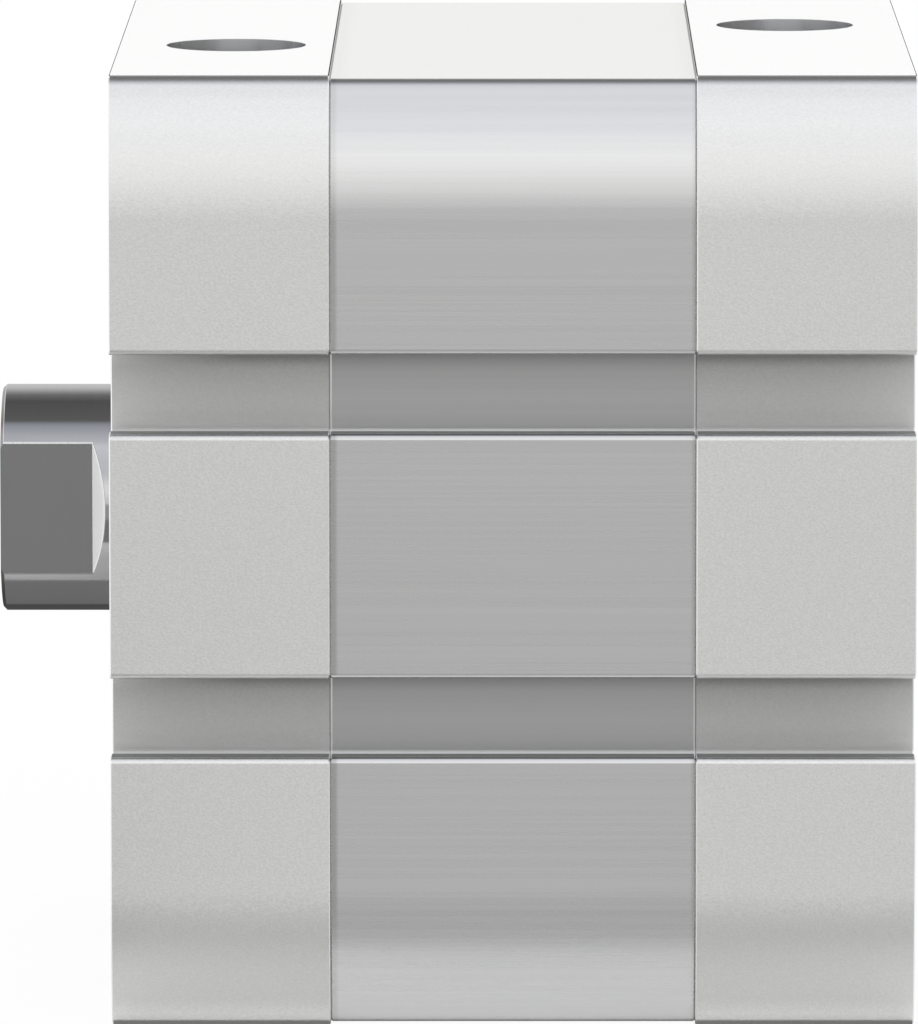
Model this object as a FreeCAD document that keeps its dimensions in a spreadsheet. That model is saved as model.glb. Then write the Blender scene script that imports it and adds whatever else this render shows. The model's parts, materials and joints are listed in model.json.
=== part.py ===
import FreeCAD, Part
import Sketcher
import os

# Compact double-acting pneumatic cylinder, in millimetres
# X runs along the rod: 0 is the front mounting face, the rod points to -X, the ports to +Z

DIMENSIONS = [
    # Housing section
    ("bore", 50, "cylinder bore diameter"),
    ("stroke", 10, "travel of the piston"),
    ("body_size", 65.5, "square size of both caps"),
    ("cap_length", 15, "length of each cap"),
    ("barrel_length", 25, "length of the barrel between the caps"),
    ("barrel_inset", 0.25, "how far the barrel stands inside the caps on each side"),
    ("side_flat", 46.1, "height of the flat part of the front and back sides"),
    ("side_radius", 23, "radius that rounds the sides off above and below the flat"),
    ("cap_corner", 1.4, "fillet along the four long edges of a cap"),
    ("barrel_corner", 1, "fillet along the four long edges of the barrel"),
    ("edge_break", 0.08, "chamfer round the outer face of a cap"),
    ("seam_break", 0.08, "chamfer round a cap where it meets the barrel"),
    ("barrel_break", 0.12, "chamfer round the ends of the barrel"),
    ("centring_dia", 12, "centring hole in the rear face"),
    ("centring_depth", 2.6, "depth of that hole"),
    ("cut_over", 1, "how far a cut starts outside the solid"),
    # Sensor slots
    ("slot_pitch", 22.24, "distance between the two slots of a side"),
    ("slot_mouth", 5.42, "width of a slot between its lips"),
    ("slot_inner", 6.8, "width of a slot behind its lips"),
    ("slot_lip", 2.1, "thickness of the lips"),
    ("slot_depth", 4.5, "depth of a slot below the cap's side"),
    ("slot_step", 0.2, "how far the barrel's slot floor stands proud of the caps'"),
    ("mouth_radius", 0.4, "rounding of the slot mouth"),
    ("floor_radius", 0.62, "rounding in the corners of the slot floor"),
    # Collar screws
    ("screw_pitch", 46.5, "square pitch of the screws"),
    ("screw_thread", 8, "female thread through a screw"),
    ("screw_shank", 10.6, "outer thread of a screw"),
    ("screw_head", 12.4, "head diameter"),
    ("screw_head_length", 5, "head length"),
    ("screw_recess", 0.4, "how far a head lies below the cap's face"),
    ("screw_reach", 9, "how far a screw goes into the barrel"),
    ("screw_key", 8.2, "width of the hexagon socket"),
    ("screw_socket", 3.6, "depth of the hexagon socket"),
    ("screw_gap", 0.1, "radial room round a screw"),
    ("head_chamfer", 0.3, "chamfer of a screw head"),
    ("tip_chamfer", 0.8, "chamfer of a screw's tip"),
    # Air ports
    ("port_thread", 9.73, "major diameter of the port thread"),
    ("port_depth", 8.5, "depth of the port thread"),
    ("port_setback", 8.18, "distance of a port from the end face"),
    ("front_port_shift", 7.46, "how far the front port lies towards -Y"),
    ("rear_port_shift", 8.5, "how far the rear port lies towards +Y"),
    ("pilot_dia", 6, "pilot hole below the port thread"),
    ("pilot_end", 18, "height at which the pilot hole ends"),
    ("passage_dia", 3.4, "air passage to the bore"),
    ("passage_height", 20, "height of the air passage"),
    # Cap spigots, seals and bumpers
    ("spigot_length", 2.4, "length of the spigot that centres a cap in the bore"),
    ("spigot_wall", 1.7, "wall of the spigot"),
    ("spigot_gap", 0.05, "radial room of the spigot in the bore"),
    ("oring_seat", 1.4, "radial width of the cap O-ring's seat in the barrel"),
    ("oring_length", 1.5, "axial length of that seat"),
    ("oring_round", 0.4, "corner cut of an O-ring's squeezed section"),
    ("bumper_inner", 12.5, "inner radius of a bumper"),
    ("bumper_outer", 18.5, "outer radius of a bumper"),
    ("bumper_seat", 1.5, "depth of a bumper's seat in the cap"),
    ("bumper_proud", 0.3, "how far a bumper stands above the spigot"),
    ("bumper_chamfer", 0.6, "chamfer of a bumper's face"),
    # Rod bearing and wiper
    ("wiper_mouth", 9.7, "radius of the opening in front of the wiper"),
    ("wiper_front", 1, "where the wiper's groove begins"),
    ("wiper_end", 5.2, "where the wiper's groove ends"),
    ("wiper_radius", 12, "radius of the wiper's groove"),
    ("bush_radius", 9, "outer radius of the bearing bush"),
    ("bush_end", 14.4, "where the bearing bush ends"),
    ("rod_gap", 0.03, "radial running room round the rod"),
    ("rod_room", 0.5, "radial room round the rod away from bush and lips"),
    ("dust_lip", 0.15, "how far the wiper's dust lip lies behind the front face"),
    ("lip_wall", 0.4, "thickness of a seal lip at its tip"),
    ("wiper_root", 1.6, "radial distance from the rod to the root of a wiper lip"),
    ("wiper_notch", 1.6, "depth of the notch behind the wiper's sealing lip"),
    # Piston rod
    ("rod_dia", 16, "rod diameter"),
    ("rod_proud", 8.5, "how far the retracted rod stands out of the cap"),
    ("rod_chamfer", 0.25, "chamfer of the rod's tip"),
    ("rod_flats", 13, "width across the wrench flats"),
    ("flat_end", 2.05, "where the flats end, ahead of the cap"),
    ("flat_runout", 0.9, "length of the slanted wall behind the flats"),
    ("flat_break", 0.08, "chamfer along the edges of the flats"),
    ("rod_thread", 10, "female thread in the rod's tip"),
    ("rod_thread_depth", 16.5, "depth of that thread"),
    ("thread_sink", 0.4, "countersink of that thread"),
    ("spigot_dia", 11, "rod spigot inside the piston"),
    ("fix_thread", 8, "thread of the piston screw"),
    ("fix_depth", 15, "depth of the hole for the piston screw"),
    ("fix_room", 0.1, "room of the piston screw's thread in that hole"),
    ("spigot_short", 0.3, "how far the spigot ends ahead of the piston screw's head"),
    # Piston
    ("stop_gap", 0.1, "room between piston and bumper at each end of the travel"),
    ("land", 0.7, "outer lands of the piston"),
    ("seal_groove", 2.2, "length of a seal groove"),
    ("band_groove", 2.3, "length of the groove for guide ring and magnet"),
    ("piston_gap", 0.4, "radial room of the piston's lands in the bore"),
    ("seal_floor", 21.6, "radius of the seal groove's floor"),
    ("magnet_inner", 18.5, "inner radius of the magnet's seat"),
    ("magnet_outer", 23.2, "outer radius of the magnet"),
    ("band_inner", 23.4, "inner radius of the guide ring"),
    ("band_gap", 0.03, "running room of guide ring and seals in the bore"),
    ("band_slit", 1.2, "slit of the guide ring"),
    ("seal_notch", 0.9, "depth of the notch in a piston seal"),
    ("fit_room", 0.02, "radial room of the pieces that are pushed together"),
    ("side_gap", 0.05, "side room of the rings in their grooves"),
    ("fix_head", 14.5, "head diameter of the piston screw"),
    ("fix_head_length", 2.1, "head length of the piston screw"),
    ("fix_key", 5, "hexagon socket of the piston screw"),
    ("fix_socket", 1.5, "depth of that socket"),
    ("fix_grip", 13, "length of the piston screw below its head"),
    ("fix_head_room", 0.2, "radial room round the piston screw's head"),
    ("ring_groove", 1.6, "radial depth of the groove for the piston O-ring"),
    ("ring_length", 2, "length of that groove"),
    ("ring_setback", 1.2, "distance of that groove from the piston's front face"),
]

doc = FreeCAD.newDocument("compact_cylinder")
dims = doc.addObject("Spreadsheet::Sheet", "dims")
for row, (alias, value, meaning) in enumerate(DIMENSIONS, start=1):
    dims.set(f"A{row}", meaning)
    dims.set(f"B{row}", str(value))
    dims.setAlias(f"B{row}", alias)
doc.recompute()

# Positions along X and radii that several pieces share, as expressions on the sheet
BORE_R = "dims.bore / 2"
HALF = "dims.body_size / 2"
SEAM_1 = "dims.cap_length"
SEAM_2 = "(dims.cap_length + dims.barrel_length)"
REAR = "(2 * dims.cap_length + dims.barrel_length)"
STOP_1 = "(dims.cap_length + dims.spigot_length + dims.bumper_proud)"
STOP_2 = f"({SEAM_2} - dims.spigot_length - dims.bumper_proud)"
PISTON_LENGTH = f"({STOP_2} - {STOP_1} - dims.stroke - 2 * dims.stop_gap)"
PISTON_REAR = f"({STOP_2} - dims.stop_gap)"
PISTON_FRONT = f"({PISTON_REAR} - {PISTON_LENGTH})"
PISTON_MID = f"({PISTON_REAR} - {PISTON_LENGTH} / 2)"
SPIGOT_R = "(dims.bore / 2 - dims.spigot_gap)"
LAND_R = "(dims.bore / 2 - dims.piston_gap)"
BAND_R = "(dims.bore / 2 - dims.band_gap)"
ROD_R = "dims.rod_dia / 2"
ROD_BORE = "(dims.rod_dia / 2 + dims.rod_gap)"
ROD_TIP = "(-dims.rod_proud)"
HEAD_SEAT = f"({PISTON_REAR} - dims.fix_head_length - dims.stop_gap)"
SPIGOT_END = f"({HEAD_SEAT} - dims.spigot_short)"
RUNNING_R = f"({ROD_R} + dims.rod_room)"

# How close two lengths must be to count as the same
NEAR = 0.01


def number(expression):
    """Value of an expression on the sheet, for a sketch's first guess."""
    return float(dims.evalExpression(expression))


def new_body(label):
    """Body for one sub-part, standing where it belongs in the assembly."""
    body = doc.addObject("PartDesign::Body", label)
    body.Label = label
    body.Placement = FreeCAD.Placement()
    return body


def datum(body, role):
    """Origin plane or axis of a body, by its role."""
    return next(f for f in body.Origin.OriginFeatures if f.Role == role)


def new_sketch(body, plane, name, shift=("0", "0", "0")):
    """Sketch on one of the body's own planes; the shift is in the sketch's x, y and normal."""
    sketch = body.newObject("Sketcher::SketchObject", f"{body.Label}_{name}")
    sketch.AttachmentSupport = (datum(body, plane), [""])
    sketch.MapMode = "FlatFace"
    for axis, expression in zip("xyz", shift):
        if expression != "0":
            sketch.setExpression(f"AttachmentOffset.Base.{axis}", expression)
    return sketch


def hold(sketch, kind, place, expression):
    """Dimension in a sketch that follows an expression on the sheet."""
    index = sketch.addConstraint(Sketcher.Constraint(kind, *place, number(expression)))
    sketch.setExpression(f"Constraints[{index}]", expression)


def draw_polygon(sketch, corners):
    """Closed line through corners given as pairs of expressions."""
    first = sketch.GeometryCount
    count = len(corners)
    points = [FreeCAD.Vector(number(u), number(v), 0) for u, v in corners]
    for i in range(count):
        sketch.addGeometry(Part.LineSegment(points[i], points[(i + 1) % count]), False)
    for i in range(count):
        sketch.addConstraint(Sketcher.Constraint("Coincident", first + i, 2, first + (i + 1) % count, 1))
    for i, (u, v) in enumerate(corners):
        hold(sketch, "DistanceX", (first + i, 1), u)
        hold(sketch, "DistanceY", (first + i, 1), v)


def draw_circle(sketch, u, v, radius):
    """Circle with its centre and radius given as expressions."""
    centre = FreeCAD.Vector(number(u), number(v), 0)
    index = sketch.addGeometry(Part.Circle(centre, FreeCAD.Vector(0, 0, 1), number(radius)), False)
    hold(sketch, "DistanceX", (index, 3), u)
    hold(sketch, "DistanceY", (index, 3), v)
    hold(sketch, "Radius", (index,), radius)


def draw_section(sketch, half):
    """Square outline whose front and back sides are rounded off above and below a flat."""
    size = number(half)
    flat = number("dims.side_flat / 2")
    radius = number("dims.side_radius")
    middle = size - radius
    reach = middle + (radius ** 2 - (size - flat) ** 2) ** 0.5
    right = sketch.addGeometry(Part.LineSegment(
        FreeCAD.Vector(size, -flat, 0), FreeCAD.Vector(size, flat, 0)), False)
    left = sketch.addGeometry(Part.LineSegment(
        FreeCAD.Vector(-size, flat, 0), FreeCAD.Vector(-size, -flat, 0)), False)
    top = sketch.addGeometry(Part.LineSegment(
        FreeCAD.Vector(reach, size, 0), FreeCAD.Vector(-reach, size, 0)), False)
    bottom = sketch.addGeometry(Part.LineSegment(
        FreeCAD.Vector(-reach, -size, 0), FreeCAD.Vector(reach, -size, 0)), False)
    for line, sign in ((right, 1), (left, -1)):
        for end, along in ((1, -sign), (2, sign)):
            hold(sketch, "DistanceX", (line, end), f"{sign} * {half}")
            hold(sketch, "DistanceY", (line, end), f"{along} * dims.side_flat / 2")
    for line, sign in ((top, 1), (bottom, -1)):
        sketch.addConstraint(Sketcher.Constraint("Horizontal", line))
        hold(sketch, "DistanceY", (line, 1), f"{sign} * {half}")
    # Each arc: centre signs, the line end it starts from and the line end it runs to
    corners = (
        (1, 1, (right, 2), (top, 1)),
        (-1, 1, (top, 2), (left, 1)),
        (-1, -1, (left, 2), (bottom, 1)),
        (1, -1, (bottom, 2), (right, 1)),
    )
    for sy, sz, start, end in corners:
        a = sketch.getPoint(*start)
        b = sketch.getPoint(*end)
        between = FreeCAD.Vector((a.x + b.x) / 2, (a.y + b.y) / 2, 0)
        centre = FreeCAD.Vector(sy * middle, sz * flat, 0)
        bulge = centre + (between - centre).normalize() * radius
        arc = sketch.addGeometry(Part.Arc(a, bulge, b), False)
        sketch.addConstraint(Sketcher.Constraint("Coincident", arc, 1, *start))
        sketch.addConstraint(Sketcher.Constraint("Coincident", arc, 2, *end))
        hold(sketch, "DistanceX", (arc, 3), f"{sy} * ({half} - dims.side_radius)")
        hold(sketch, "DistanceY", (arc, 3), f"{sz} * dims.side_flat / 2")


def feature(body, kind, name, sketch, **sizes):
    """Sketch-based feature; sizes given as text follow the sheet, others are set as they are."""
    made = body.newObject(f"PartDesign::{kind}", f"{body.Label}_{name}")
    made.Profile = sketch
    for size, value in sizes.items():
        if isinstance(value, str) and value.startswith("="):
            made.setExpression(size, value[1:])
        else:
            setattr(made, size, value)
    return made


def turn(body, kind, name, corners, shift=("0", "0", "0")):
    """Profile of X and radius turned about the sketch's own X axis."""
    sketch = new_sketch(body, "XY_Plane", f"{name}_profile", shift)
    draw_polygon(sketch, corners)
    return feature(body, kind, name, sketch, ReferenceAxis=(sketch, ["H_Axis"]), Angle=360)


def turned_part(label, corners):
    """Sub-part that is one turned profile."""
    body = new_body(label)
    turn(body, "Revolution", "turned", corners)
    return body


def drill(body, name, sketch, dia, depth, **settings):
    """Round hole at every circle of a sketch."""
    doc.recompute()
    hole = body.newObject("PartDesign::Hole", f"{body.Label}_{name}")
    hole.Profile = sketch
    hole.ThreadType = "None"
    hole.Threaded = False
    hole.DepthType = "Dimension"
    for setting, value in settings.items():
        if isinstance(value, str) and value.startswith("="):
            hole.setExpression(setting, value[1:])
        else:
            setattr(hole, setting, value)
    hole.setExpression("Diameter", dia)
    hole.setExpression("Depth", depth)
    return hole


def dress(body, kind, name, size, chosen):
    """Fillet or chamfer on the edges of the body's last feature that the test picks out."""
    doc.recompute()
    base = body.Tip
    edges = [f"Edge{i}" for i, edge in enumerate(base.Shape.Edges, start=1) if chosen(edge)]
    made = body.newObject(f"PartDesign::{kind}", f"{body.Label}_{name}")
    made.Base = (base, edges)
    made.setExpression("Radius" if kind == "Fillet" else "Size", size)
    return made


def runs_along_x(edge):
    """True for a straight edge parallel to X."""
    box = edge.BoundBox
    return box.YLength < NEAR and box.ZLength < NEAR


def lies_across_x(edge, at):
    """True for an edge in the plane at one X."""
    box = edge.BoundBox
    return box.XLength < NEAR and abs(box.XMin - at) < NEAR


def cut_slots(body, half, floor, start, length):
    """Two sensor slots in each of the front, bottom and back sides, with rounded lips and floors."""
    sketch = new_sketch(body, "YZ_Plane", "slot_section", ("0", "0", start))
    outside = f"-{HALF} - dims.cut_over"
    lip = f"-{HALF} + dims.slot_lip"
    for sign in (1, -1):
        mid = f"{sign} * dims.slot_pitch / 2"
        mouth_low, mouth_high = f"{mid} - dims.slot_mouth / 2", f"{mid} + dims.slot_mouth / 2"
        inner_low, inner_high = f"{mid} - dims.slot_inner / 2", f"{mid} + dims.slot_inner / 2"
        draw_polygon(sketch, [
            (outside, mouth_low), (lip, mouth_low), (lip, inner_low), (floor, inner_low),
            (floor, inner_high), (lip, inner_high), (lip, mouth_high), (outside, mouth_high)])
    pocket = feature(body, "Pocket", "slots", sketch, Length=f"={length}", Reversed=True)
    doc.recompute()
    pattern = body.newObject("PartDesign::PolarPattern", f"{body.Label}_slot_sides")
    pattern.Originals = [pocket]
    pattern.Axis = (datum(body, "X_Axis"), [""])
    pattern.Angle = 180
    pattern.Occurrences = 3
    body.Tip = pattern
    size = number(half)
    depth = -number(floor)
    low = number("(dims.slot_pitch - dims.slot_inner) / 2")
    high = number("(dims.slot_pitch + dims.slot_inner) / 2")

    def on_floor(edge):
        y, z = abs(edge.Vertexes[0].Y), abs(edge.Vertexes[0].Z)
        out, along = max(y, z), min(y, z)
        at_corner = min(abs(along - low), abs(along - high)) < NEAR
        return runs_along_x(edge) and abs(out - depth) < NEAR and at_corner

    def on_mouth(edge):
        y, z = abs(edge.Vertexes[0].Y), abs(edge.Vertexes[0].Z)
        return runs_along_x(edge) and abs(max(y, z) - size) < NEAR and low < min(y, z) < high

    dress(body, "Fillet", "slot_floors", "dims.floor_radius", on_floor)
    dress(body, "Fillet", "slot_mouths", "dims.mouth_radius", on_mouth)


def new_block(label, half, floor, start, length, corner):
    """Length of the housing section with its rounded corners and sensor slots."""
    body = new_body(label)
    sketch = new_sketch(body, "YZ_Plane", "section", ("0", "0", start))
    draw_section(sketch, half)
    feature(body, "Pad", "block", sketch, Length=f"={length}")
    size = number(half)
    dress(body, "Fillet", "corners", corner,
          lambda edge: runs_along_x(edge) and abs(abs(edge.Vertexes[0].Z) - size) < NEAR)
    cut_slots(body, half, floor, start, length)
    return body


def four_circles(body, name, at, radius):
    """Circles on the square pitch of the collar screws."""
    sketch = new_sketch(body, "YZ_Plane", name, ("0", "0", at))
    for sy in (1, -1):
        for sz in (1, -1):
            draw_circle(sketch, f"{sy} * dims.screw_pitch / 2", f"{sz} * dims.screw_pitch / 2", radius)
    return sketch


def new_cap(label, face, seam, into, shift):
    """Cap with its screw holes, spigot, bumper seat, port and air passage.

    face and seam are the X of its outer and inner face, into is +1 or -1 from face to seam,
    shift is the Y of its port.
    """
    low = face if into > 0 else seam
    body = new_block(label, HALF, f"-{HALF} + dims.slot_depth", low, "dims.cap_length", "dims.cap_corner")
    dress(body, "Chamfer", "edge_break", "dims.edge_break", lambda edge: lies_across_x(edge, number(face)))
    dress(body, "Chamfer", "seam_break", "dims.seam_break", lambda edge: lies_across_x(edge, number(seam)))
    turn(body, "Revolution", "spigot", [
        (seam, f"{SPIGOT_R} - dims.spigot_wall"),
        (f"{seam} + {into} * dims.spigot_length", f"{SPIGOT_R} - dims.spigot_wall"),
        (f"{seam} + {into} * dims.spigot_length", SPIGOT_R),
        (seam, SPIGOT_R)])
    turn(body, "Groove", "bumper_seat", [
        (f"{seam} - {into} * dims.bumper_seat", "dims.bumper_inner"),
        (f"{seam} + {into} * dims.cut_over", "dims.bumper_inner"),
        (f"{seam} + {into} * dims.cut_over", "dims.bumper_outer"),
        (f"{seam} - {into} * dims.bumper_seat", "dims.bumper_outer")])
    holes = four_circles(body, "screw_centres", face, "dims.screw_shank / 2")
    drill(body, "screw_holes", holes, "dims.screw_shank + 2 * dims.screw_gap", "dims.cap_length",
          Reversed=into > 0, HoleCutType="Counterbore", HoleCutCustomValues=True, DrillPoint="Flat",
          HoleCutDiameter="=dims.screw_head + 2 * dims.screw_gap",
          HoleCutDepth="=dims.screw_head_length + dims.screw_recess")
    port_x = f"{face} + {into} * dims.port_setback"
    port = new_sketch(body, "XY_Plane", "port_centre", ("0", "0", HALF))
    draw_circle(port, port_x, shift, "dims.port_thread / 2")
    drill(body, "port", port, "dims.port_thread", "dims.port_depth", DrillPoint="Flat")
    pilot = new_sketch(body, "XY_Plane", "pilot_centre", ("0", "0", HALF))
    draw_circle(pilot, port_x, shift, "dims.pilot_dia / 2")
    drill(body, "pilot", pilot, "dims.pilot_dia", f"{HALF} - dims.pilot_end", DrillPoint="Angled")
    passage = new_sketch(body, "YZ_Plane", "passage_section", ("0", "0", port_x))
    draw_circle(passage, shift, "dims.passage_height", "dims.passage_dia / 2")
    feature(body, "Pocket", "passage", passage, Reversed=into > 0,
            Length="=dims.cap_length - dims.port_setback")
    return body


# Bearing cap: the rod's opening, wiper groove and bush seat are bored along X
bearing_cap = new_cap("bearing_cap", "0", SEAM_1, 1, "-dims.front_port_shift")
turn(bearing_cap, "Groove", "rod_bore", [
    ("-dims.cut_over", "0"), ("-dims.cut_over", "dims.wiper_mouth"),
    ("dims.wiper_front", "dims.wiper_mouth"),
    ("dims.wiper_front", "dims.wiper_radius"), ("dims.wiper_end", "dims.wiper_radius"),
    ("dims.wiper_end", "dims.bush_radius"), ("dims.bush_end", "dims.bush_radius"),
    ("dims.bush_end", RUNNING_R), (f"{SEAM_1} + dims.cut_over", RUNNING_R),
    (f"{SEAM_1} + dims.cut_over", "0")])

# End cap: closed, the same section the other way round, with a centring hole in its outer face
end_cap = new_cap("end_cap", REAR, SEAM_2, -1, "dims.rear_port_shift")
centring = new_sketch(end_cap, "YZ_Plane", "centring_section", ("0", "0", REAR))
draw_circle(centring, "0", "0", "dims.centring_dia / 2")
drill(end_cap, "centring", centring, "dims.centring_dia", "dims.centring_depth", DrillPoint="Flat")

# Barrel: bore with an O-ring seat at each end and a channel for the screws in each corner
BARREL_HALF = "(dims.body_size / 2 - dims.barrel_inset)"
barrel = new_block("barrel", BARREL_HALF, f"-{HALF} + dims.slot_depth - dims.slot_step", SEAM_1,
                   "dims.barrel_length", "dims.barrel_corner")
dress(barrel, "Chamfer", "barrel_break", "dims.barrel_break",
      lambda edge: lies_across_x(edge, number(SEAM_1)) or lies_across_x(edge, number(SEAM_2)))
turn(barrel, "Groove", "bore", [
    (SEAM_1, "0"), (SEAM_1, f"{BORE_R} + dims.oring_seat"),
    (f"{SEAM_1} + dims.oring_length", f"{BORE_R} + dims.oring_seat"),
    (f"{SEAM_1} + dims.oring_length", BORE_R), (f"{SEAM_2} - dims.oring_length", BORE_R),
    (f"{SEAM_2} - dims.oring_length", f"{BORE_R} + dims.oring_seat"),
    (SEAM_2, f"{BORE_R} + dims.oring_seat"), (SEAM_2, "0")])
channels = four_circles(barrel, "channel_section", SEAM_1, "dims.screw_shank / 2 + dims.screw_gap / 2")
feature(barrel, "Pocket", "channels", channels, Length="=dims.barrel_length", Reversed=True)


def collar_screws(label, face, into):
    """Four hollow screws that hold a cap on the barrel, as one group of separate solids."""
    body = new_body(label)
    body.AllowCompound = True
    corner = "-dims.screw_pitch / 2"
    head = f"{face} + {into} * dims.screw_recess"
    seat = f"{head} + {into} * dims.screw_head_length"
    tip = f"{face} + {into} * (dims.cap_length + dims.screw_reach)"
    inner, shank, rim = "dims.screw_thread / 2", "dims.screw_shank / 2", "dims.screw_head / 2"
    screw = turn(body, "Revolution", "turned", [
        (head, inner), (head, f"{rim} - dims.head_chamfer"),
        (f"{head} + {into} * dims.head_chamfer", rim), (seat, rim), (seat, shank),
        (f"{tip} - {into} * dims.tip_chamfer", shank), (tip, f"{shank} - dims.tip_chamfer"), (tip, inner)],
        ("0", corner, corner))
    socket = new_sketch(body, "YZ_Plane", "socket_section", (corner, corner, head))
    draw_polygon(socket, [(f"dims.screw_key / sqrt(3) * cos({60 * k})",
                           f"dims.screw_key / sqrt(3) * sin({60 * k})") for k in range(6)])
    cut = feature(body, "Pocket", "socket", socket, Length="=dims.screw_socket", Reversed=into > 0)
    doc.recompute()
    pattern = body.newObject("PartDesign::LinearPattern", f"{label}_square")
    pattern.Originals = [screw, cut]
    pattern.Direction = (datum(body, "Y_Axis"), [""])
    pattern.Direction2 = (datum(body, "Z_Axis"), [""])
    pattern.setExpression("Length", "dims.screw_pitch")
    pattern.setExpression("Length2", "dims.screw_pitch")
    pattern.Occurrences = 2
    pattern.Occurrences2 = 2
    body.Tip = pattern
    return body


front_screws = collar_screws("front_collar_screws", "0", 1)
rear_screws = collar_screws("rear_collar_screws", REAR, -1)


def squeezed_ring(near, far, into, inner, outer):
    """Section of an O-ring that its groove has pressed flat, with its corners cut."""
    cut = "dims.oring_round"
    return [
        (f"{near} + {into} * {cut}", inner), (near, f"{inner} + {cut}"),
        (near, f"{outer} - {cut}"), (f"{near} + {into} * {cut}", outer),
        (f"{far} - {into} * {cut}", outer), (far, f"{outer} - {cut}"),
        (far, f"{inner} + {cut}"), (f"{far} - {into} * {cut}", inner)]


def cap_oring(label, seam, into):
    """O-ring squeezed between the cap's face and its seat in the barrel."""
    far = f"{seam} + {into} * dims.oring_length"
    return turned_part(label, squeezed_ring(seam, far, into, BORE_R, f"{BORE_R} + dims.oring_seat"))


front_oring = cap_oring("front_cap_oring", SEAM_1, 1)
rear_oring = cap_oring("rear_cap_oring", SEAM_2, -1)


def bumper(label, seam, stop, into):
    """Elastic ring in the cap's inner face that stops the piston."""
    base = f"{seam} - {into} * dims.bumper_seat"
    return turned_part(label, [
        (base, "dims.bumper_inner"), (base, "dims.bumper_outer"),
        (f"{stop} - {into} * dims.bumper_chamfer", "dims.bumper_outer"),
        (stop, "dims.bumper_outer - dims.bumper_chamfer"),
        (stop, "dims.bumper_inner + dims.bumper_chamfer"),
        (f"{stop} - {into} * dims.bumper_chamfer", "dims.bumper_inner")])


front_bumper = bumper("front_bumper", SEAM_1, STOP_1, 1)
rear_bumper = bumper("rear_bumper", SEAM_2, STOP_2, -1)

# Bearing bush and wiper round the rod
bush = turned_part("rod_bearing_bush", [
    ("dims.wiper_end", ROD_BORE), ("dims.wiper_end", "dims.bush_radius"),
    ("dims.bush_end", "dims.bush_radius"), ("dims.bush_end", ROD_BORE)])
wiper = turned_part("rod_wiper_seal", [
    ("dims.dust_lip", ROD_BORE), ("dims.dust_lip", f"{ROD_BORE} + dims.lip_wall"),
    ("dims.wiper_front", f"{ROD_R} + dims.wiper_root"), ("dims.wiper_front", "dims.wiper_radius"),
    ("dims.wiper_end", "dims.wiper_radius"), ("dims.wiper_end", f"{ROD_R} + dims.wiper_root"),
    ("dims.wiper_end - dims.wiper_notch", f"{ROD_R} + dims.wiper_root / 2"),
    ("dims.wiper_end - dims.lip_wall", f"{ROD_BORE} + dims.lip_wall"),
    ("dims.wiper_end - dims.lip_wall", ROD_BORE),
    ("dims.wiper_end - dims.wiper_notch - dims.lip_wall", RUNNING_R),
    ("dims.wiper_front + dims.lip_wall", RUNNING_R)])

# Piston rod: turned, then flats, the female thread's hole and the hole for the piston screw
rod = new_body("piston_rod")
turn(rod, "Revolution", "turned", [
    (ROD_TIP, "0"), (ROD_TIP, f"{ROD_R} - dims.rod_chamfer"),
    (f"{ROD_TIP} + dims.rod_chamfer", ROD_R), (PISTON_FRONT, ROD_R),
    (PISTON_FRONT, "dims.spigot_dia / 2"), (SPIGOT_END, "dims.spigot_dia / 2"), (SPIGOT_END, "0")])
flats = new_sketch(rod, "XY_Plane", "flat_section")
for side in (1, -1):
    deep = f"{side} * dims.rod_flats / 2"
    clear = f"{side} * ({ROD_R} + dims.cut_over)"
    lift = f"({ROD_R} + dims.cut_over - dims.rod_flats / 2) / ({ROD_R} - dims.rod_flats / 2)"
    draw_polygon(flats, [
        (f"{ROD_TIP} - dims.cut_over", deep), ("-dims.flat_end", deep),
        (f"-dims.flat_end + dims.flat_runout * {lift}", clear), (f"{ROD_TIP} - dims.cut_over", clear)])
feature(rod, "Pocket", "flats", flats, Midplane=True, Length="=2 * dims.rod_dia")


def borders_flat(edge):
    """True for the edges where the flats and their slanted walls meet the round rod."""
    box = edge.BoundBox
    flat = number("dims.rod_flats / 2")
    along = runs_along_x(edge) and abs(abs(box.YMin) - flat) < NEAR
    behind = abs(box.XMin + number("dims.flat_end")) < NEAR and box.XLength > NEAR and box.ZLength > NEAR
    return along or behind


dress(rod, "Chamfer", "flat_break", "dims.flat_break", borders_flat)
thread_circle = new_sketch(rod, "YZ_Plane", "thread_centre", ("0", "0", ROD_TIP))
draw_circle(thread_circle, "0", "0", "dims.rod_thread / 2")
drill(rod, "thread", thread_circle, "dims.rod_thread", "dims.rod_thread_depth", Reversed=True,
      DrillPoint="Angled", HoleCutType="Countersink", HoleCutCustomValues=True, HoleCutCountersinkAngle=90,
      HoleCutDiameter="=dims.rod_thread + 2 * dims.thread_sink")
fix_circle = new_sketch(rod, "YZ_Plane", "fix_centre", ("0", "0", SPIGOT_END))
draw_circle(fix_circle, "0", "0", "dims.fix_thread / 2")
drill(rod, "fix_hole", fix_circle, "dims.fix_thread + dims.fix_room", "dims.fix_depth", DrillPoint="Angled")


def piston_half(label, face, into, bore):
    """Half of the piston; the bore lists the corners of its hole from the middle to the face."""
    step = f"{face} + {into} * dims.land"
    shelf = f"{step} + {into} * dims.seal_groove"
    band = f"{PISTON_MID} - {into} * dims.band_groove / 2"
    return turned_part(label, [
        (face, LAND_R), (step, LAND_R), (step, "dims.seal_floor"), (shelf, "dims.seal_floor"),
        (shelf, LAND_R), (band, LAND_R), (band, "dims.magnet_inner"),
        (PISTON_MID, "dims.magnet_inner"), *bore])


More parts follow.
